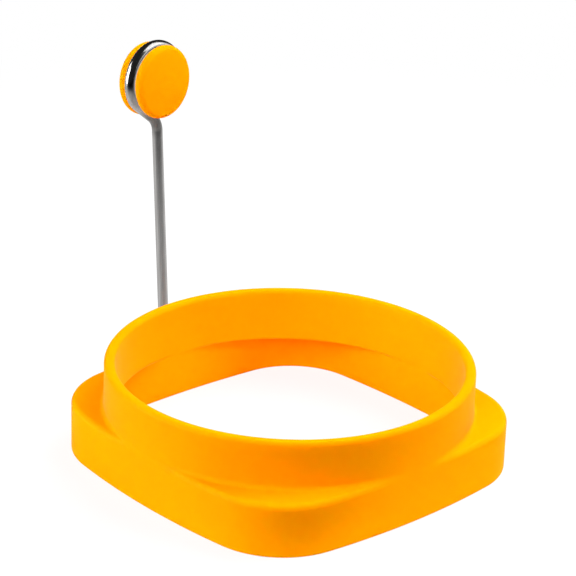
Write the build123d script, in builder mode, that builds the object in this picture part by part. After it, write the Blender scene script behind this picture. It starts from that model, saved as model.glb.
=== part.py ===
from build123d import *

import os
from math import acos, asin, atan2, cos, degrees, radians, sin, sqrt, tan

# Silicone egg ring with a round well on one side and a rounded square one on the other.
# A bent wire handle with a round knob folds over it. Sizes are in millimetres.
# The origin is on the round well's axis, in the mid-plane that the hinge lies in.

# Ring
ring_height = 26.73
ledge_rise = 0.725  # above the mid-plane
round_radius = 47.5
wall = 2.9
corner_wall = 2.5
side_proud = 0.05
side_radius = 205.0
inner_side_radius = 273.0
corner_radius = 21.5
web_thickness = 1.9
rim_round = 1.2
ledge_round = 1.5
crease_round = 1.2
foot_round = 0.6

# Hinge lug on the ring's back
lug_width = 7.0
lug_radius = 3.8
lug_round = 0.8
pivot_reach = 3.1

# Handle wire
wire_radius = 1.4
wire_clearance = 0.05
bend_radius = 2.8
stirrup_side_gap = 0.3
stirrup_top_gap = 2.4
handle_lean = 3.56

# Loop that carries the knob
knob_height = 73.78
knob_shift = 0.7
knob_turn = 7.7
loop_radius = 9.15
lower_radius = 7.4  # of the loop's side next to the neck
neck_shift = 0.25
neck_bearing = 231.0
neck_bend_radius = 5.5
wire_end_sink = 1.2

# Knob discs
disc_radius = 9.64
disc_edge_radius = 1.38
dome_radius = 90.0
disc_gap = 0.05
boss_clearance = 0.15
plug_radius = 3.5
plug_length = 1.6
socket_clearance = 0.05
socket_floor_gap = 0.2

# Every cut runs past the face that it leaves by this much
overrun = 2.0

base = -ring_height / 2
web_underside = ledge_rise - web_thickness
well_radius = round_radius - wall
square_half = round_radius + side_proud

pivot_y = round_radius + pivot_reach
lug_root_y = round_radius - wall / 2
bore_radius = wire_radius + wire_clearance

stirrup_half = lug_width / 2 + stirrup_side_gap + bend_radius
stirrup_top = lug_radius + stirrup_top_gap + wire_radius


def rounded_square(half, bulge_radius, round_off):
    """Draw a square with slightly bulged sides and round corners in the open sketch."""
    bulge_centre = half - bulge_radius
    corner = (sqrt(2 * (bulge_radius - round_off) ** 2 - bulge_centre**2) + bulge_centre) / 2
    side_sweep = degrees(atan2(corner, corner - bulge_centre))
    with BuildLine() as outline:
        for quarter in range(4):
            turn = 90 * quarter
            side_centre = Vector(bulge_centre, 0).rotate(Axis.Z, turn)
            corner_centre = Vector(corner, corner).rotate(Axis.Z, turn)
            CenterArc(side_centre, bulge_radius, turn - side_sweep, 2 * side_sweep)
            CenterArc(corner_centre, round_off, turn + side_sweep, 90 - 2 * side_sweep)
    make_face(outline.edges())


with BuildPart() as ring_body:
    # Square foot with its ledge rounded off
    with BuildSketch(Plane.XY.offset(base)):
        rounded_square(square_half, side_radius, corner_radius)
    extrude(amount=ledge_rise - base)
    fillet(ring_body.edges().group_by(Axis.Z)[-1], ledge_round)
    # Round wall above the web
    with BuildSketch(Plane.XY.offset(web_underside)):
        Circle(round_radius)
    extrude(amount=ring_height / 2 - web_underside)
    round_face = ring_body.faces().sort_by(Axis.Z)[-2]
    crease = round_face.edges().filter_by_position(Axis.Z, base, ledge_rise + crease_round)
    fillet(crease, crease_round)
    # Hollow of the square side, up to the web, and the round well through it
    with BuildSketch(Plane.XY.offset(base)):
        rounded_square(square_half - wall, inner_side_radius, corner_radius - corner_wall)
    extrude(amount=web_underside - base, mode=Mode.SUBTRACT)
    with BuildSketch(Plane.XY.offset(web_underside - overrun)):
        Circle(well_radius)
    extrude(amount=ring_height / 2 - web_underside + 2 * overrun, mode=Mode.SUBTRACT)
    fillet(ring_body.edges().group_by(Axis.Z)[-1], rim_round)
    fillet(ring_body.edges().group_by(Axis.Z)[0], foot_round)
    # Hinge lug with a bore for the wire
    with BuildSketch(Plane.YZ.offset(-lug_width / 2)):
        with Locations((pivot_y, 0)):
            Circle(lug_radius)
        with Locations(((lug_root_y + pivot_y) / 2, 0)):
            Rectangle(pivot_y - lug_root_y, 2 * lug_radius)
    extrude(amount=lug_width)
    lug_edges = ring_body.edges().filter_by_position(Axis.Y, lug_root_y, pivot_y + lug_radius)
    lug_edges = lug_edges.filter_by_position(Axis.Z, -lug_radius - lug_round, lug_radius + lug_round)
    lug_reach = lug_width / 2 + lug_round
    fillet(lug_edges.filter_by_position(Axis.X, -lug_reach, lug_reach), lug_round)
    with BuildSketch(Plane.YZ.offset(-lug_width / 2 - overrun)):
        with Locations((pivot_y, 0)):
            Circle(bore_radius)
    extrude(amount=lug_width + 2 * overrun, mode=Mode.SUBTRACT)

# The handle stands in its own plane, which leans away from the ring at the hinge
pivot = Vector(0, pivot_y, 0)
upward = Vector(0, 0, 1).rotate(Axis.X, -handle_lean)
handle_plane = Plane(pivot, x_dir=(1, 0, 0), z_dir=Vector(1, 0, 0).cross(upward))
stem_axis = Axis(pivot, upward)
sideways = Vector(1, 0, 0).rotate(stem_axis, knob_turn)
knob_plane = Plane(pivot, x_dir=sideways, z_dir=sideways.cross(upward))

# The stem bends at the neck, the wire runs straight into the loop, and the loop comes round to the neck
loop_centre = (-knob_shift, knob_height)
lower_centre = (lower_radius - loop_radius - knob_shift, knob_height)
loop_entry = (
    lower_centre[0] + lower_radius * cos(radians(neck_bearing)),
    lower_centre[1] + lower_radius * sin(radians(neck_bearing)),
)
neck_rise = (neck_shift + loop_entry[0]) / tan(radians(neck_bearing))
neck_corner = (-neck_shift, loop_entry[1] + neck_rise)
neck_reach = lower_radius + (loop_radius - lower_radius) * cos(radians(neck_bearing - 180))
end_distance = 2 * wire_radius - wire_end_sink
end_bearing = neck_bearing + degrees(acos((neck_reach - end_distance) / loop_radius))

with BuildPart() as wire_handle:
    # Closed stirrup through the lug, one half and its mirror image
    with BuildLine(handle_plane):
        stirrup = FilletPolyline(
            (0, 0),
            (stirrup_half, 0),
            (stirrup_half, stirrup_top),
            (0, stirrup_top),
            radius=bend_radius,
        )
    with BuildSketch(Plane(stirrup @ 0, z_dir=stirrup % 0)):
        Circle(wire_radius)
    sweep()
    mirror(about=Plane.YZ)
    # Stem, neck, and the loop up to its top
    with BuildLine(knob_plane) as stem:
        FilletPolyline((0, stirrup_top), neck_corner, loop_entry, radius=neck_bend_radius)
        CenterArc(lower_centre, lower_radius, neck_bearing, 180 - neck_bearing)
        CenterArc(loop_centre, loop_radius, 180, -90)
    with BuildSketch(Plane(stem.line @ 0, z_dir=stem.line % 0)):
        Circle(wire_radius)
    sweep()
    # Rest of the loop, down to where the wire's end closes against the neck
    with BuildLine(knob_plane) as wire_end:
        CenterArc(loop_centre, loop_radius, 90, end_bearing - 450)
    with BuildSketch(Plane(wire_end.line @ 0, z_dir=wire_end.line % 0)):
        Circle(wire_radius)
    sweep()

# Half section of the knob: X is out from its axis and Y is along it, towards the front
knob_centre = knob_plane.from_local_coords(Vector(-knob_shift, knob_height, 0))
knob_section = Plane(knob_centre, x_dir=knob_plane.x_dir, z_dir=-knob_plane.y_dir)
knob_axis = Axis(knob_centre, knob_plane.z_dir)
disc_start = wire_radius + disc_gap
edge_centre = Vector(disc_radius - disc_edge_radius, disc_start + disc_edge_radius)
dome_sweep = degrees(asin(edge_centre.X / (dome_radius - disc_edge_radius)))
dome_centre_y = edge_centre.Y - sqrt((dome_radius - disc_edge_radius) ** 2 - edge_centre.X**2)


def disc_outline():
    """Draw half the section of a disc with a full-round edge and a slightly domed face."""
    with BuildLine() as outline:
        start = Line((0, disc_start), (edge_centre.X, disc_start))
        CenterArc(edge_centre, disc_edge_radius, -90, 180 - dome_sweep)
        dome = CenterArc((0, dome_centre_y), dome_radius, 90 - dome_sweep, dome_sweep)
        Line(dome @ 1, start @ 0)
    make_face(outline.edges())


with BuildPart() as knob_front_disc:
    with BuildSketch(knob_section):
        disc_outline()
    revolve(axis=knob_axis)
    with BuildSketch(knob_section):
        with Locations((0, disc_start - overrun)):
            Rectangle(
                plug_radius + socket_clearance,
                plug_length + socket_floor_gap + overrun,
                align=Align.MIN,
            )
    revolve(axis=knob_axis, mode=Mode.SUBTRACT)

boss_radius = neck_reach - wire_radius - boss_clearance

with BuildPart() as knob_rear_disc:
    with BuildSketch(knob_section):
        disc_outline()
        mirror(about=Plane.XZ, mode=Mode.REPLACE)
        with Locations((0, -disc_start)):
            Rectangle(boss_radius, 2 * disc_start, align=Align.MIN)
        with Locations((0, disc_start)):
            Rectangle(plug_radius, plug_length, align=Align.MIN)
    revolve(axis=knob_axis)

nodes = {
    "ring_body": ring_body,
    "wire_handle": wire_handle,
    "knob_front_disc": knob_front_disc,
    "knob_rear_disc": knob_rear_disc,
}
os.makedirs("parts", exist_ok=True)
for name, node in nodes.items():
    node.part.label = name
    export_step(node.part, f"parts/{name}.step")
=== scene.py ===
import math

import bmesh
import bpy
from mathutils import Matrix, Vector
from mathutils.bvhtree import BVHTree


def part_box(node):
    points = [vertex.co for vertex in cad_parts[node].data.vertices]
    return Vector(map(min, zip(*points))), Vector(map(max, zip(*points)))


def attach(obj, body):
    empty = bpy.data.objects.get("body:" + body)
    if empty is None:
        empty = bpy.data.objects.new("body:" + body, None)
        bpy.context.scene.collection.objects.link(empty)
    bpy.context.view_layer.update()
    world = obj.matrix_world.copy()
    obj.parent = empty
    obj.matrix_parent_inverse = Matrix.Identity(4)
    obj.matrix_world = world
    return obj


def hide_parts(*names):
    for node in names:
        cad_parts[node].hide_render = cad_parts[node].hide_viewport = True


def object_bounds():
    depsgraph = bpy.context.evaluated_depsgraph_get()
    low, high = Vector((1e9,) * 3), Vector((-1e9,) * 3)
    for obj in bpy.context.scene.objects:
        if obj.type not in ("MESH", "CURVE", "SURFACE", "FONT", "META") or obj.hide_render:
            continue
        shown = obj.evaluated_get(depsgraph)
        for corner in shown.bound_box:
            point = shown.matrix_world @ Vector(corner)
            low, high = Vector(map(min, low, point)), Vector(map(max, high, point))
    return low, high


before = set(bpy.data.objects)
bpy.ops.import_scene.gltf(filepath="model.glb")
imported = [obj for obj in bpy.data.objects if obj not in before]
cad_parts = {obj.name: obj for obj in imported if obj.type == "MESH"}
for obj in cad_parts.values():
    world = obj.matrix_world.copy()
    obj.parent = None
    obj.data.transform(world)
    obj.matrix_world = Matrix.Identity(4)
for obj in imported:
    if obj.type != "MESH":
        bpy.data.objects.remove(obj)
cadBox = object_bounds()
mm = 0.001
mergeDistance = 0.001  # mm, under which two points count as one
sharpAngle = 40        # degrees, from which an edge is left sharp


def direction(azimuth, elevation):
    # degrees from +X towards +Y, and upwards
    turn, rise = math.radians(azimuth), math.radians(elevation)
    return Vector((math.cos(turn) * math.cos(rise), math.sin(turn) * math.cos(rise), math.sin(rise)))


# Where the camera stands, which way it looks, and how far it is rolled. Lengths are in mm.
cameraSetup = {
    "azimuth": 227.511,  # degrees
    "elevation": 23.154,
    "roll": 1.922,
    "distance": 661.82,  # from the point that it looks at
    "target": (-0.897, 0.821, 33.225),
    "focalLength": 164.04,
    "sensorWidth": 36,
    "nearest": 10,       # what is nearer isn't drawn
}


def makeCamera(setup):
    back = direction(setup["azimuth"], setup["elevation"])
    right = (-back).cross(Vector((0, 0, 1))).normalized()
    up = back.cross(right)
    axes = Matrix((right, up, back)).transposed()
    axes = axes @ Matrix.Rotation(math.radians(setup["roll"]), 3, "Z")
    spot = (Vector(setup["target"]) + back * setup["distance"]) * mm
    lens = bpy.data.cameras.new("photoCamera")
    lens.sensor_width = setup["sensorWidth"]
    lens.lens = setup["focalLength"]
    lens.clip_start = setup["nearest"] * mm
    camera = bpy.data.objects.new("photoCamera", lens)
    camera.matrix_world = Matrix.Translation(spot) @ axes.to_4x4()
    bpy.context.scene.collection.objects.link(camera)
    bpy.context.scene.camera = camera


makeCamera(cameraSetup)
print("camera placed")


class Sock:
    # wraps a socket, so that sums on it add Math nodes
    def __init__(self, mat, socket):
        self.mat = mat
        self.socket = socket

    def math(self, operation, *others):
        return self.mat.node("ShaderNodeMath", {"operation": operation}, dict(enumerate([self, *others])))

    def __add__(self, other):
        return self.math("ADD", other)

    def __sub__(self, other):
        return self.math("SUBTRACT", other)

    def __rsub__(self, other):
        return self.mat.node("ShaderNodeMath", {"operation": "SUBTRACT"}, {0: other, 1: self})

    def __mul__(self, other):
        return self.math("MULTIPLY", other)

    __radd__ = __add__
    __rmul__ = __mul__


class Mat:
    # one material or world and its node tree
    def __init__(self, name, owner=None):
        self.owner = owner or bpy.data.materials.new(name)
        self.owner.use_nodes = True
        self.tree = self.owner.node_tree
        self.tree.nodes.clear()

    def node(self, kind, settings={}, values={}, out=0):
        made = self.tree.nodes.new(kind)
        for name, value in settings.items():
            setattr(made, name, value)
        for key, value in values.items():
            # a Mix node has several sockets of one name, so an identifier comes first
            named = [item for item in made.inputs if item.identifier == key]
            socket = named[0] if named else made.inputs[key]
            if isinstance(value, Sock):
                self.tree.links.new(value.socket, socket)
            else:
                socket.default_value = value
        return Sock(self, made.outputs[out]) if made.outputs else None

    def mix(self, share, one, other, blend="MIX"):
        # two colours blended by a share from 0 to 1
        values = {"Factor_Float": share, "A_Color": one, "B_Color": other}
        return self.node("ShaderNodeMix", {"data_type": "RGBA", "blend_type": blend}, values, 2)

    def grey(self, value):
        # a number as a neutral colour
        return self.node("ShaderNodeCombineColor", {}, {"Red": value, "Green": value, "Blue": value})

    def vector(self, operation, *vectors):
        # the number that comes of one or two vectors
        return self.node("ShaderNodeVectorMath", {"operation": operation}, dict(enumerate(vectors)), "Value")

    def change(self, value, start, end, low=0.0, high=1.0, shape="SMOOTHSTEP"):
        # low where the value is at start, high where it is at end
        values = {"Value": value, "From Min": start, "From Max": end, "To Min": low, "To Max": high}
        return self.node("ShaderNodeMapRange", {"interpolation_type": shape}, values)

    def noise(self, place, size, detail):
        # soft random patches of about this size in mm, from 0 to 1
        values = {"Vector": place, "Scale": 1 / (size * mm), "Detail": detail, "Roughness": 0.5}
        return self.node("ShaderNodeTexNoise", {}, values)

    def bump(self, height, depth, below=None):
        # relief of this depth in mm, on top of another where one is given
        values = {"Height": height, "Distance": depth * mm, "Strength": 1.0}
        if below:
            values["Normal"] = below
        return self.node("ShaderNodeBump", {}, values)


# Satin silicone. Each pattern has its size in mm and its detail, and relief has its depth in mm.
siliconeLook = {
    "deep": (1.0, 0.315, 0.0, 1),  # the two tones that the moulding drifts between
    "light": (1.0, 0.34, 0.0, 1),
    "clouds": (14.0, 3),
    "patches": (2.6, 2),           # where it has been handled, a little smoother or duller
    "roughness": (0.50, 0.58),
    "grain": (0.35, 2),            # from the mould
    "grainDepth": 0.002,
    "ripples": (5.0, 1),           # faint unevenness of the walls
    "rippleDepth": 0.02,
    "glow": (1.0, 0.3, 0.04),      # how far red, green and blue light spread inside
    "glowDepth": 3.5,              # mm for a glow of 1
    "refraction": 1.41,
    "gloss": 0.05,
    "glossTint": (1.0, 0.6, 0.2, 1),
}


def siliconeMaterial():
    s = siliconeLook
    m = Mat("orangeSilicone")
    place = m.node("ShaderNodeTexCoord", out="Object")
    low, high = s["roughness"]
    grain = m.bump(m.noise(place, *s["grain"]), s["grainDepth"])
    shader = m.node("ShaderNodeBsdfPrincipled", {"subsurface_method": "BURLEY"}, {
        "Base Color": m.mix(m.noise(place, *s["clouds"]), s["deep"], s["light"]),
        "Roughness": low + (high - low) * m.noise(place, *s["patches"]),
        "Normal": m.bump(m.noise(place, *s["ripples"]), s["rippleDepth"], grain),
        "IOR": s["refraction"],
        "Specular IOR Level": s["gloss"],
        "Specular Tint": s["glossTint"],
        "Subsurface Weight": 1.0,
        "Subsurface Radius": s["glow"],
        "Subsurface Scale": s["glowDepth"] * mm,
    })
    m.node("ShaderNodeOutputMaterial", {}, {"Surface": shader})
    return m.owner


# Drawn stainless wire. Each pattern has its size in mm and its detail, and relief has its depth in mm.
steelLook = {
    "bright": (0.76, 0.75, 0.74, 1),
    "dull": (0.38, 0.37, 0.36, 1),
    "streaks": (0.4, 3),         # from drawing, across the wire
    "streakLength": 18.0,
    "streakDepth": 0.010,
    "smudges": (6.0, 2),
    "roughness": (0.14, 0.22),
    "waves": (0.9, 1),           # slight unevenness of the drawn surface
    "waveStretch": 5,            # how many times longer along the wire
    "waveDepth": 0.014,
    "weld": (-2.0, 54.7, 63.8),  # where the loop was closed; the wire's colour is darker round it
    "weldReach": (2.6, 6.2),     # mm from there, wholly duller and not at all
    "weldTint": (0.44, 0.43, 0.42, 1),
}


def steelMaterial():
    s = steelLook
    m = Mat("polishedSteel")
    place = m.node("ShaderNodeTexCoord", out="Object")
    shrink = s["streaks"][0] / s["streakLength"]
    drawn = m.node("ShaderNodeMapping", {}, {"Vector": place, "Scale": (1, 1, shrink)})
    streaks = m.noise(drawn, *s["streaks"])
    away = m.vector("DISTANCE", place, Vector(s["weld"]) * mm)
    full, none = s["weldReach"]
    # the base colour is made darker round where the loop was closed, fading out further away
    weldShare = m.change(away, none * mm, full * mm, shape="LINEAR")
    uneven = m.node("ShaderNodeMapping", {}, {"Vector": place, "Scale": (1, 1, 1 / s["waveStretch"])})
    waves = m.bump(m.noise(uneven, *s["waves"]), s["waveDepth"])
    low, high = s["roughness"]
    shader = m.node("ShaderNodeBsdfPrincipled", {}, {
        "Base Color": m.mix(weldShare, m.mix(streaks, s["dull"], s["bright"]), s["weldTint"], "MULTIPLY"),
        "Metallic": 1.0,
        "Roughness": low + (high - low) * m.noise(place, *s["smudges"]),
        "Normal": m.bump(streaks, s["streakDepth"], waves),
    })
    m.node("ShaderNodeOutputMaterial", {}, {"Surface": shader})
    return m.owner


silicone = siliconeMaterial()
steel = steelMaterial()
print("materials made")


def finishPiece(bm, name, material, node, body, slot):
    # makes the mesh a piece in metres, in its CAD node's place
    bmesh.ops.recalc_face_normals(bm, faces=bm.faces[:])
    bmesh.ops.scale(bm, vec=(mm, mm, mm), verts=bm.verts[:])
    mesh = bpy.data.meshes.new(name)
    bm.to_mesh(mesh)
    bm.free()
    mesh.shade_smooth()
    mesh.set_sharp_from_angle(angle=math.radians(sharpAngle))
    mesh.materials.append(material)
    piece = bpy.data.objects.new(name, mesh)
    piece.visible_glossy = slot != "silicone"  # keeps the steel a neutral grey
    bpy.context.scene.collection.objects.link(piece)
    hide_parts(node)
    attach(piece, body)


def roundStretch(centre, radius, start, end, count):
    # arc from one angle to another, in degrees
    points = []
    for i in range(count + 1):
        angle = math.radians(start + (end - start) * i / count)
        points.append((centre[0] + radius * math.cos(angle), centre[1] + radius * math.sin(angle)))
    return points


def between(start, end, count):
    # evenly spaced points on the line between two, without the two
    return [tuple(a + (b - a) * i / count for a, b in zip(start, end)) for i in range(1, count)]


# The ring, in mm. Its height and the square's width come from the ring's CAD part.
ringSizes = {
    "radius": 47.5,           # outside of the round wall
    "wall": 2.9,
    "ledge": 0.725,           # top of the ledge, from the mid-plane
    "web": 1.9,               # thickness under the ledge
    "sideRadius": 205.0,      # bulge of the square's sides, outside and then inside
    "innerSideRadius": 273.0,
    "cornerRadius": 21.5,
    "cornerWall": 2.5,
    "rimRound": 1.2,
    "creaseRound": 1.2,
    "ledgeRound": 1.5,
    "webRound": 0.8,
    "footRound": 0.6,
    "curveShare": 2.2,        # how much denser the points lie on the curves than on the ledge's flat
    "rimSteps": 6,
    "ledgeSteps": 24,
    "footSteps": 4,
    "webSteps": 16,
    # straight stretches: down both outsides, under the foot, up both insides, over the rim
    "wallSteps": (8, 9, 2, 9, 9, 2),
    "steps": 360,             # round the axis
}


def squareReach(angle, half, sideRadius, cornerRadius):
    # how far the rounded square's outline lies from the axis, in one direction
    turn = abs((angle + math.pi / 4) % (math.pi / 2) - math.pi / 4)
    back = sideRadius - half
    corner = (math.sqrt(2 * (sideRadius - cornerRadius) ** 2 - back ** 2) - back) / 2
    joint = math.atan2(corner, corner + back)
    if turn < math.atan2(sideRadius * math.sin(joint), sideRadius * math.cos(joint) - back):
        lean = back * math.cos(turn)
        return math.sqrt(lean ** 2 + sideRadius ** 2 - back ** 2) - lean
    lean = corner * (math.cos(turn) + math.sin(turn))
    return lean + math.sqrt(lean ** 2 - 2 * corner ** 2 + cornerRadius ** 2)


def stepCurve(inner, outer, middle, upperRound, lowerRound, count):
    # down the wall at inner, out over a rounding, a flat and a rounding, to the wall at outer
    width = outer - inner
    drop = upperRound + lowerRound
    sweep = min(math.pi / 2, 2 * math.atan(width / drop))
    upper = upperRound / math.sin(sweep)
    lower = lowerRound / math.sin(sweep)
    flat = max(0, width - drop)
    share = ringSizes["curveShare"]
    stretches = [upper * sweep * share, flat, lower * sweep * share]
    points = []
    for i in range(count + 1):
        along = sum(stretches) * i / count
        if along <= stretches[0]:
            angle = along / share / upper
            point = (inner + upper * (1 - math.cos(angle)), middle + upperRound - upper * math.sin(angle))
        elif along < stretches[0] + flat:
            point = (inner + upperRound + along - stretches[0], middle)
        else:
            angle = (sum(stretches) - along) / share / lower
            point = (outer - lower * (1 - math.cos(angle)), middle - lowerRound + lower * math.sin(angle))
        points.append(point)
    return points


def ringSection(angle, top, half):
    # the ring cut through in one direction: distance from the axis and height, all the way round
    s = ringSizes
    radius, well = s["radius"], s["radius"] - s["wall"]
    outer = squareReach(angle, half, s["sideRadius"], s["cornerRadius"])
    inner = squareReach(angle, half - s["wall"], s["innerSideRadius"], s["cornerRadius"] - s["cornerWall"])
    rim, foot, web = s["rimRound"], s["footRound"], s["ledge"] - s["web"]
    parts = [
        roundStretch((radius - rim, top - rim), rim, 90, 0, s["rimSteps"]),
        stepCurve(radius, outer, s["ledge"], s["creaseRound"], s["ledgeRound"], s["ledgeSteps"]),
        roundStretch((outer - foot, foot - top), foot, 0, -90, s["footSteps"]),
        roundStretch((inner + foot, foot - top), foot, -90, -180, s["footSteps"]),
        stepCurve(well, inner, web, s["webRound"], s["webRound"], s["webSteps"])[::-1],
        roundStretch((well + rim, top - rim), rim, 180, 90, s["rimSteps"]),
    ]
    section = []
    for part, following, count in zip(parts, parts[1:] + parts[:1], s["wallSteps"]):
        section += part + between(part[-1], following[0], count)
    return section


# The hinge lug on the ring's back, in mm
lugSizes = {
    "width": 7.0,
    "radius": 3.8,
    "round": 0.8,
    "pivotReach": 3.1,   # the bore's axis, from the round wall
    "bore": 1.45,        # radius
    "rootRound": 0.8,
    "hole": (5.0, 5.6),  # how far the wall is opened for it, sideways and up
    "skin": 46.8,        # the wall's outside lies further back than this
    "noseSteps": 24,
    "sideSteps": 5,
    "roundSteps": 4,
    "topSteps": 6,
    "flareSteps": 4,
}


def lugOutline(half, root):
    # the lug's outline about its bore, seen along X: round nose, then straight back to the root
    nose, side = lugSizes["noseSteps"], lugSizes["sideSteps"]
    top, bottom = (root, half), (root, -half)
    points = roundStretch((0, 0), half, -90, 90, nose)
    points += between((0, half), top, side) + [top]
    points += between(top, bottom, nose - 2 * side) + [bottom]
    return points + between(bottom, (0, -half), side)


def lugLevels(root):
    # outlines from side to side: through the bore, over the right side, the outside and the left side
    s = lugSizes
    side, soft = s["width"] / 2, s["round"]
    bore = roundStretch((0, 0), s["bore"], -90, 270, 2 * s["noseSteps"])[:-1]
    face = lugOutline(s["radius"] - soft, root)
    middle = [tuple((a + b) / 2 for a, b in zip(p, q)) for p, q in zip(bore, face)]
    edge = roundStretch((side - soft, s["radius"] - soft), soft, 0, 90, s["roundSteps"])
    flat = between(edge[-1], (-edge[-1][0], edge[-1][1]), s["topSteps"])
    outside = edge + flat + [(-x, half) for x, half in reversed(edge)]
    levels = [(x, bore) for x in (-side, -side / 3, side / 3, side)] + [(side, middle)]
    return levels + [(x, lugOutline(half, root)) for x, half in outside] + [(-side, middle)]


def addLug(bm):
    s = lugSizes
    wall = BVHTree.FromBMesh(bm)
    fromBehind = Vector((0, 20, 0))  # from well outside the wall
    acrossHole, upHole = s["hole"]
    opened = []
    for face in bm.faces:
        centre = face.calc_center_median()
        if centre.y > s["skin"] and abs(centre.x) < acrossHole and abs(centre.z) < upHole:
            opened.append(face)
    bmesh.ops.delete(bm, geom=opened, context="FACES")
    hole = [edge for edge in bm.edges if edge.is_boundary]
    # the lug by itself, spun round its bore and then given its outline
    pivot = Vector((0, ringSizes["radius"] + s["pivotReach"], 0))
    root = s["rootRound"] - s["pivotReach"]
    levels = lugLevels(root)
    level = bm.verts.layers.int["level"]
    others = set(bm.verts)
    profile = bmesh.ops.create_circle(bm, segments=len(levels), radius=1)["verts"]
    for i, vert in enumerate(profile):
        vert[level] = i
        vert.co = pivot + Vector((levels[i][0], 0, -1))
    edges = [edge for edge in bm.edges if edge.verts[0] in profile]
    aroundBore = 2 * s["noseSteps"]
    bmesh.ops.spin(bm, geom=profile + edges, cent=pivot, axis=(1, 0, 0), angle=2 * math.pi,
                   steps=aroundBore, use_merge=True)
    lug = [vert for vert in bm.verts if vert not in others]
    for vert in lug:
        offset = vert.co - pivot
        step = round((math.atan2(offset.z, offset.y) / math.pi + 0.5) * s["noseSteps"]) % aroundBore
        x, outline = levels[vert[level]]
        vert.co = pivot + Vector((x, *outline[step]))
    # its root opened, flared out and joined to the opening in the wall
    atRoot = {vert for vert in lug if abs(vert.co.y - pivot.y - root) < mergeDistance}
    rootFaces = {face for vert in atRoot for face in vert.link_faces if atRoot.issuperset(face.verts)}
    bmesh.ops.delete(bm, geom=list(rootFaces), context="FACES")
    rim = [edge for edge in bm.edges if edge.is_boundary and edge not in hole]
    roots = {vert: vert.co.copy() for edge in rim for vert in edge.verts}
    reach = Vector((s["width"] / 2, s["radius"])) - Vector((s["round"], s["round"]))
    for i in range(1, s["flareSteps"] + 1):
        turn = math.pi / 2 * i / s["flareSteps"]
        grown = bmesh.ops.extrude_edge_only(bm, edges=rim)["geom"]
        rim = [item for item in grown if isinstance(item, bmesh.types.BMEdge) and item.is_boundary]
        following = {}
        for vert in {vert for edge in rim for vert in edge.verts}:
            neighbours = [edge.other_vert(vert) for edge in vert.link_edges]
            start = next(roots[other] for other in neighbours if other in roots)
            following[vert] = start
            away = Vector((start.x - max(-reach.x, min(reach.x, start.x)), 0,
                           start.z - max(-reach.y, min(reach.y, start.z))))
            away = away.normalized() * s["rootRound"]
            foot = wall.ray_cast(start + away + fromBehind, -fromBehind)[0]
            drop = foot.y - start.y
            vert.co = start + away * (1 - math.cos(turn)) + Vector((0, drop * math.sin(turn), 0))
        roots = following
    bmesh.ops.bridge_loops(bm, edges=hole + rim)


def makeRing():
    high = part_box("ring_body")[1]
    top, half, steps = high.z / mm, high.x / mm, ringSizes["steps"]
    sections = [ringSection(2 * math.pi * i / steps, top, half) for i in range(steps)]
    bm = bmesh.new()
    level = bm.verts.layers.int.new("level")
    profile = bmesh.ops.create_circle(bm, segments=len(sections[0]), radius=1)["verts"]
    for i, vert in enumerate(profile):
        vert[level] = i
        vert.co = (half, 0, i)  # apart from the others until its place is known
    bmesh.ops.spin(bm, geom=profile + bm.edges[:], cent=(0, 0, 0), axis=(0, 0, 1), angle=2 * math.pi,
                   steps=steps, use_merge=True)
    for vert in bm.verts:
        angle = math.atan2(vert.co.y, vert.co.x)
        reach, height = sections[round(angle * steps / 2 / math.pi) % steps][vert[level]]
        vert.co = (reach * math.cos(angle), reach * math.sin(angle), height)
    bmesh.ops.recalc_face_normals(bm, faces=bm.faces[:])
    addLug(bm)
    finishPiece(bm, "ring", silicone, "ring_body", "ring", "silicone")


makeRing()
print("ring made")

# The handle's wire, in mm: the stirrup through the lug, the stem, and the loop that holds the knob
wireSizes = {
    "radius": 1.4,
    "sides": 40,
    "lean": 3.56,           # degrees, away from the ring
    "stirrup": (6.6, 7.6),  # half its width, and its top above the pivot
    "bendRadius": 2.8,
    "knobHeight": 73.78,    # the loop's centre, above the pivot
    "knobShift": 0.7,
    "knobTurn": 7.7,        # degrees
    "loopRadius": 9.15,
    "lowerRadius": 7.4,     # of the loop's side next to the neck
    "neckShift": 0.25,
    "neckBearing": 231,     # degrees, where the neck runs into the loop
    "neckBend": 5.5,
    "endSink": 1.2,         # how deep the wire's end is welded into the neck
    "endRound": 0.3,
    "sideSteps": 2,         # of each straight stretch of the stirrup
    "bendSteps": 14,
    "stemSteps": 20,
    "neckSteps": 4,
    "lowerSteps": 16,
    "loopSteps": 80,
}


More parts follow.
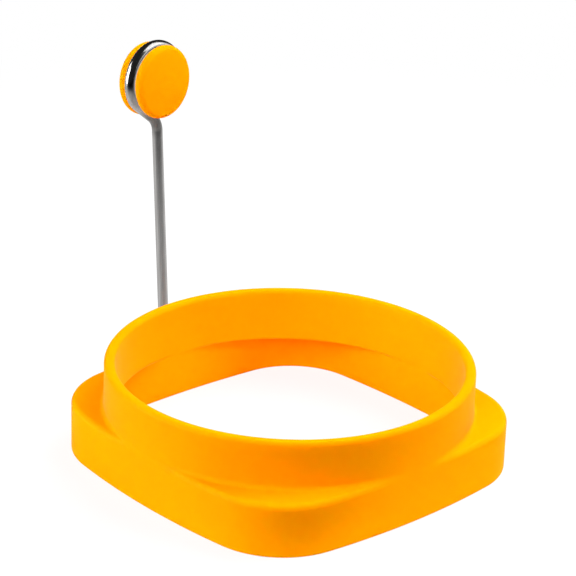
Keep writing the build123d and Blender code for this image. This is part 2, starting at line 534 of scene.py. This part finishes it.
class Wire:
    # draws a round wire with extrusions and spins, one stretch after another
    def __init__(self, spot, ahead, axis):
        s = wireSizes
        self.bm = bmesh.new()
        self.spot = Vector(spot)
        self.ahead = Vector(ahead).normalized()
        self.axis = Vector(axis).normalized()
        side = self.axis.cross(self.ahead)
        turned = Matrix((side, self.axis, self.ahead)).transposed().to_4x4()
        bmesh.ops.create_circle(self.bm, segments=s["sides"], radius=s["radius"],
                                matrix=Matrix.Translation(self.spot) @ turned)
        self.loop = self.bm.verts[:] + self.bm.edges[:]

    def run(self, length, steps):
        for _ in range(steps):
            edges = [item for item in self.loop if isinstance(item, bmesh.types.BMEdge)]
            grown = bmesh.ops.extrude_edge_only(self.bm, edges=edges)["geom"]
            verts = [item for item in grown if isinstance(item, bmesh.types.BMVert)]
            edges = [item for item in grown if isinstance(item, bmesh.types.BMEdge) and item.is_boundary]
            bmesh.ops.translate(self.bm, verts=verts, vec=self.ahead * length / steps)
            self.loop = verts + edges
        self.spot += self.ahead * length
        return self

    def bend(self, radius, degrees, steps):
        # a left turn about the axis for positive degrees
        angle = math.radians(degrees)
        centre = self.spot + self.axis.cross(self.ahead) * math.copysign(radius, degrees)
        spun = bmesh.ops.spin(self.bm, geom=self.loop, cent=centre, axis=self.axis, angle=angle, steps=steps)
        self.loop = spun["geom_last"]
        turn = Matrix.Rotation(angle, 3, self.axis)
        self.spot = centre + turn @ (self.spot - centre)
        self.ahead = turn @ self.ahead
        return self

    def close(self, rounding):
        # caps over both open ends
        edges = [edge for edge in self.bm.edges if edge.is_boundary]
        caps = bmesh.ops.edgeloop_fill(self.bm, edges=edges)["faces"]
        bmesh.ops.recalc_face_normals(self.bm, faces=self.bm.faces[:])
        rims = {edge for face in caps for edge in face.edges}
        bmesh.ops.bevel(self.bm, geom=list(rims), offset=rounding, offset_type="OFFSET", affect="EDGES",
                        segments=3, profile=0.5, material=-1)
        return self

    def asObject(self, name, turn):
        # a helper object in the handle's place, for a union
        bmesh.ops.recalc_face_normals(self.bm, faces=self.bm.faces[:])
        bmesh.ops.transform(self.bm, matrix=turn, verts=self.bm.verts[:])
        mesh = bpy.data.meshes.new(name)
        self.bm.to_mesh(mesh)
        self.bm.free()
        return bpy.data.objects.new(name, mesh)


def stirrup():
    s = wireSizes
    half, top = s["stirrup"]
    bend, steps = s["bendRadius"], s["sideSteps"]
    wire = Wire((0, 0, 0), (1, 0, 0), (0, -1, 0))
    wire.run(half - bend, steps).bend(bend, 90, s["bendSteps"])
    wire.run(top - 2 * bend, steps).bend(bend, 90, s["bendSteps"])
    wire.run(half - bend, steps)
    everything = wire.bm.verts[:] + wire.bm.edges[:] + wire.bm.faces[:]
    bmesh.ops.mirror(wire.bm, geom=everything, axis="X", merge_dist=mergeDistance)
    return wire


def stemAndLoop():
    s = wireSizes
    loop, lower, bearing = s["loopRadius"], s["lowerRadius"], math.radians(s["neckBearing"])
    # where the neck's straight run ends in the loop, and where its line meets the stem's
    entry = Vector((lower - loop - s["knobShift"] + lower * math.cos(bearing), 0,
                    s["knobHeight"] + lower * math.sin(bearing)))
    corner = Vector((-s["neckShift"], 0, entry.z + (s["neckShift"] + entry.x) / math.tan(bearing)))
    base = Vector((0, 0, s["stirrup"][1]))
    stem, neck = corner - base, entry - corner
    aside = stem.angle(neck)
    cut = s["neckBend"] * math.tan(aside / 2)
    # how far the loop comes round until its end lies in the neck
    reach = lower + (loop - lower) * math.cos(bearing - math.pi)
    short = math.degrees(math.acos((reach - 2 * s["radius"] + s["endSink"]) / loop))
    past = s["neckBearing"] - 180  # how far the neck's place is past the loop's left side
    wire = Wire(base, stem, (0, -1, 0))
    wire.run(stem.length - cut, s["stemSteps"])
    wire.bend(s["neckBend"], math.degrees(aside), s["bendSteps"])
    wire.run(neck.length - cut, s["neckSteps"])
    wire.bend(lower, -past, s["lowerSteps"])
    return wire.bend(loop, past + short - 360, s["loopSteps"]).close(s["endRound"])


def handlePlaces():
    # from a drawing about the pivot to the leaning handle, and to the turned knob on it
    pivot = Matrix.Translation((0, ringSizes["radius"] + lugSizes["pivotReach"], 0))
    lean = pivot @ Matrix.Rotation(-math.radians(wireSizes["lean"]), 4, "X")
    return lean, lean @ Matrix.Rotation(math.radians(wireSizes["knobTurn"]), 4, "Z")


def makeWire():
    lean, turned = handlePlaces()
    loop = stemAndLoop().asObject("stemAndLoop", turned)
    foot = stirrup().asObject("stirrup", lean)
    for helper in (loop, foot):
        bpy.context.scene.collection.objects.link(helper)
    union = loop.modifiers.new("union", "BOOLEAN")
    union.operation = "UNION"
    union.solver = "EXACT"
    union.use_self = True
    union.object = foot
    welded = bpy.data.meshes.new_from_object(loop.evaluated_get(bpy.context.evaluated_depsgraph_get()))
    bm = bmesh.new()
    bm.from_mesh(welded)
    for helper in (loop, foot):
        bpy.data.objects.remove(helper)
    bmesh.ops.remove_doubles(bm, verts=bm.verts[:], dist=2 * mergeDistance)
    finishPiece(bm, "wire", steel, "wire_handle", "handle", "steel_wire")


makeWire()
print("wire made")

# The knob's two discs, in mm: distance from the knob's axis, and from the loop's plane
discSizes = {
    "radius": 9.64,
    "edgeRadius": 1.38,
    "domeRadius": 90.0,
    "inner": 1.45,          # inner face, from the loop's plane
    "boss": 6.95,           # radius
    "plug": (3.5, 1.6),     # radius and length
    "socket": (3.55, 1.8),
    "soft": 0.2,            # rounding of the boss, the plug and the socket's mouth
    "domeSteps": 12,
    "edgeSteps": 18,
    "steps": 144,           # round the axis
}


def discOutside():
    # the dome from the axis outwards, then the full-round edge and the inner face
    s = discSizes
    edge = (s["radius"] - s["edgeRadius"], s["inner"] + s["edgeRadius"])
    apart = s["domeRadius"] - s["edgeRadius"]
    sweep = math.degrees(math.asin(edge[0] / apart))
    centre = (0, edge[1] - math.sqrt(apart ** 2 - edge[0] ** 2))
    dome = roundStretch(centre, s["domeRadius"], 90, 90 - sweep, s["domeSteps"])
    return dome + roundStretch(edge, s["edgeRadius"], 90 - sweep, -90, s["edgeSteps"])[1:]


def makeDisc(name, node, section, front):
    # spun from its section, which points to the front for 1 and to the rear for -1
    centre = Vector((-wireSizes["knobShift"], 0, wireSizes["knobHeight"]))
    bm = bmesh.new()
    verts = [bm.verts.new(centre + Vector((reach, -front * offset, 0))) for reach, offset in section]
    edges = [bm.edges.new(pair) for pair in zip(verts, verts[1:])]
    bmesh.ops.spin(bm, geom=verts + edges, cent=centre, axis=(0, 1, 0), angle=2 * math.pi,
                   steps=discSizes["steps"], use_merge=True)
    bmesh.ops.remove_doubles(bm, verts=bm.verts[:], dist=mergeDistance)
    bmesh.ops.transform(bm, matrix=handlePlaces()[1], verts=bm.verts[:])
    finishPiece(bm, name, silicone, node, "handle", "silicone")


def makeKnob():
    s = discSizes
    inner, soft, boss = s["inner"], s["soft"], s["boss"]
    socket, bottom = s["socket"][0], inner + s["socket"][1]
    plug, tip = s["plug"][0], -inner - s["plug"][1]
    front = [(socket + soft, inner), (socket, inner + soft), (socket, bottom), (0, bottom)]
    rear = [(boss, inner), (boss, soft - inner), (boss - soft, -inner), (plug, -inner)]
    rear += [(plug, tip + soft), (plug - soft, tip), (0, tip)]
    makeDisc("knobFront", "knob_front_disc", discOutside() + front, 1)
    makeDisc("knobRear", "knob_rear_disc", discOutside() + rear, -1)


makeKnob()
print("knob made")

# Floor under the ring's foot, in mm. The light that it throws back fades towards the front,
# and so does what metal sees of it.
floorSetup = {
    "size": 6000,
    "albedo": 0.92,
    "fadeTowards": (0.7071, 0.7071, 0),
    "fade": (-74, -50),                # that way, from the front's share to all of it
    "frontShare": 0.03,
    "mirroredTowards": (0.4, 0.917, 0),
    "mirrored": (0.42, 105, 0.6),      # brightness in the middle, how far on it is e times that, its most
    "white": 0.85,                     # share of plain white near the ring, the rest keeps the shadow
    "clear": (130, 330),               # from the middle, where the shadow fades out to plain white
}


def seenDirectly(m):
    # 1 for what the camera sees, and 1 for what it sees straight, in metal or through glass
    rays = ("Is Camera Ray", "Is Glossy Ray", "Is Transmission Ray")
    camera, glossy, through = [m.node("ShaderNodeLightPath", out=ray) for ray in rays]
    return camera, camera + glossy + through


def makeFloor(setup):
    bm = bmesh.new()
    bmesh.ops.create_grid(bm, x_segments=1, y_segments=1, size=setup["size"] * mm / 2,
                          matrix=Matrix.Translation((0, 0, cadBox[0][2])))
    mesh = bpy.data.meshes.new("floor")
    bm.to_mesh(mesh)
    bm.free()
    floor = bpy.data.objects.new("floor", mesh)
    bpy.context.scene.collection.objects.link(floor)
    m = Mat("paleFloor")
    place = m.node("ShaderNodeTexCoord", out="Object")
    camera, seen = seenDirectly(m)
    start, end = setup["fade"]
    across = m.vector("DOT_PRODUCT", place, setup["fadeTowards"])
    lit = m.change(across, start * mm, end * mm, setup["frontShare"])
    brightness = (seen + (1 - seen) * lit) * setup["albedo"]
    diffuse = m.node("ShaderNodeBsdfDiffuse", {}, {"Color": m.grey(brightness)})
    middle, reach, most = setup["mirrored"]
    behind = m.vector("DOT_PRODUCT", place, setup["mirroredTowards"])
    mirrored = (behind * (1 / (reach * mm))).math("EXPONENT") * middle
    shown = m.grey(camera + (1 - camera) * mirrored.math("MINIMUM", most))
    white = m.node("ShaderNodeEmission", {}, {"Color": shown, "Strength": 1.0})
    near, far = setup["clear"]
    share = m.change(m.vector("LENGTH", place), near * mm, far * mm, setup["white"])
    both = m.node("ShaderNodeMixShader", {}, {0: seen * share, 1: diffuse, 2: white})
    m.node("ShaderNodeOutputMaterial", {}, {"Surface": both})
    mesh.materials.append(m.owner)


makeFloor(floorSetup)

# The white round about. Metal sees it bright on the right, where the backdrop stands, and dim elsewhere.
studioSetup = {
    "towards": (0.866, -0.5, 0),  # the middle of the backdrop
    "dim": 0.02,
    "edge": (0.766, 0.97),        # cosines of how far from its middle it ends and is wholly bright
}


def makeWorld(setup):
    world = bpy.data.worlds.new("studio")
    bpy.context.scene.world = world
    m = Mat("studio", world)
    around = m.node("ShaderNodeTexCoord", out="Generated")
    camera, seen = seenDirectly(m)
    backdrop = m.change(m.vector("DOT_PRODUCT", around, setup["towards"]), *setup["edge"], setup["dim"])
    shown = m.grey(camera + (1 - camera) * backdrop)
    white = m.node("ShaderNodeBackground", {}, {"Color": shown, "Strength": 1.0})
    dark = m.node("ShaderNodeBackground", {}, {"Strength": 0.0})
    both = m.node("ShaderNodeMixShader", {}, {0: seen, 1: dark, 2: white})
    m.node("ShaderNodeOutputWorld", {}, {"Surface": both})


makeWorld(studioSetup)

# Each lamp: where it stands in degrees, its size in mm, its power in watts, and whether metal mirrors it
lampDistance = 900  # mm, from the ring's middle
lamps = {
    "rightSoftbox": {"azimuth": 353, "elevation": 48, "size": 900, "power": 15.0, "mirrored": False},
    "rightFill": {"azimuth": 330, "elevation": 45, "size": 650, "power": 2.2, "mirrored": True},
    "leftSoftbox": {"azimuth": 205, "elevation": 40, "size": 500, "power": 6.4, "mirrored": False},
    "leftLow": {"azimuth": 146, "elevation": 15, "size": 700, "power": 6.9, "mirrored": True},
}


def makeLamps(setups):
    for name, setup in setups.items():
        away = direction(setup["azimuth"], setup["elevation"])
        light = bpy.data.lights.new(name, "AREA")
        light.size = setup["size"] * mm
        light.energy = setup["power"]
        lamp = bpy.data.objects.new(name, light)
        lamp.location = away * lampDistance * mm
        lamp.rotation_euler = away.to_track_quat("Z", "Y").to_euler()
        lamp.visible_camera = False
        lamp.visible_glossy = setup["mirrored"]
        bpy.context.scene.collection.objects.link(lamp)


makeLamps(lamps)
bpy.context.scene.view_settings.view_transform = "Standard"
print("lamps placed")
